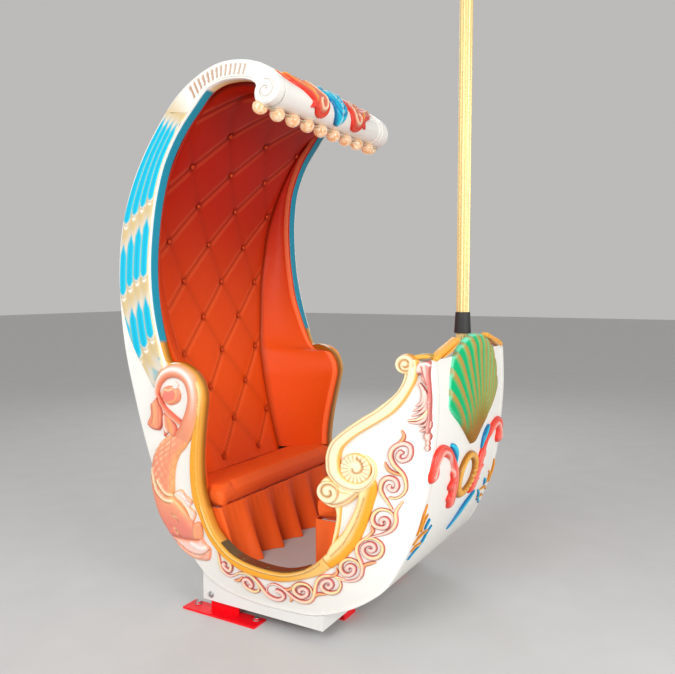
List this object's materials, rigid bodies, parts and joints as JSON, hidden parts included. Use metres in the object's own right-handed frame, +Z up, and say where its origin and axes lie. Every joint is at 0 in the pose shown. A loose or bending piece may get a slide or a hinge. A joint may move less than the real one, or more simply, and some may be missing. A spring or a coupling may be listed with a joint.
{
  "type": "carousel chariot",
  "caption": "Hooded fairground carousel chariot with carved sides, facing benches, a prow pole and bolted deck brackets.",
  "frame": {"origin": "on the deck, under the middle of the chariot's overall length and width", "axes": "+Z up, +X towards the prow, Y across the chariot"},
  "size_m": [1.3776, 1.1576, 2.68],
  "materials": {
    "white_gloss": "gloss white paint on a moulded body",
    "turquoise_paint": "gloss turquoise paint",
    "gold_paint": "gloss gold paint, shaded darker in its hollows",
    "cream_paint": "gloss cream paint with gold edges",
    "coral_paint": "gloss coral paint with pale highlights",
    "green_paint": "gloss green paint with golden ribs",
    "red_leather": "satin red leather, tufted",
    "red_steel": "gloss red paint",
    "grey_floor": "matt grey floor covering",
    "bronze": "worn bronze",
    "amber_lens": "clear amber",
    "black_rubber": "matt black"
  },
  "bodies": {
    "root": {"side_panel_right": "white_gloss", "side_panel_left": "white_gloss", "hood_shell": "white_gloss", "back_shell": "white_gloss", "belly_shell": "white_gloss", "prow_shell": "white_gloss", "hood_roll": "white_gloss", "hood_leaves": "coral_paint", "lamp_strip": "amber_lens", "prow_cap": "white_gloss", "reeded_band_right": "white_gloss", "reeded_band_left": "white_gloss", "feather_band_right": "turquoise_paint", "feather_band_left": "turquoise_paint", "arm_carp_right": "coral_paint", "arm_carp_left": "coral_paint", "rim_moulding_right": "gold_paint", "rim_moulding_left": "gold_paint", "front_moulding_right": "cream_paint", "front_moulding_left": "cream_paint", "vine_scroll_right": "coral_paint", "vine_scroll_left": "coral_paint", "corner_leaf_right": "coral_paint", "corner_leaf_left": "coral_paint", "prow_scallop": "green_paint", "prow_cartouche": "coral_paint", "prow_spray_right": "gold_paint", "prow_spray_left": "gold_paint", "prow_crest_right": "gold_paint", "prow_crest_left": "gold_paint", "back_lining": "red_leather", "side_lining_right": "red_leather", "side_lining_left": "red_leather", "front_lining": "red_leather", "cabin_floor": "grey_floor", "rear_seat_base": "white_gloss", "front_seat_base": "white_gloss", "rear_cushion": "red_leather", "front_cushion": "red_leather", "rear_skirt": "red_leather", "front_skirt": "red_leather", "threshold_plate_right": "bronze", "threshold_plate_left": "bronze", "base_frame": "white_gloss", "rear_bracket_right": "red_steel", "rear_bracket_left": "red_steel", "front_bracket_right": "red_steel", "front_bracket_left": "red_steel", "pole": "gold_paint", "pole_sleeve": "black_rubber", "pole_socket": "red_steel"}
  },
  "joints": []
}
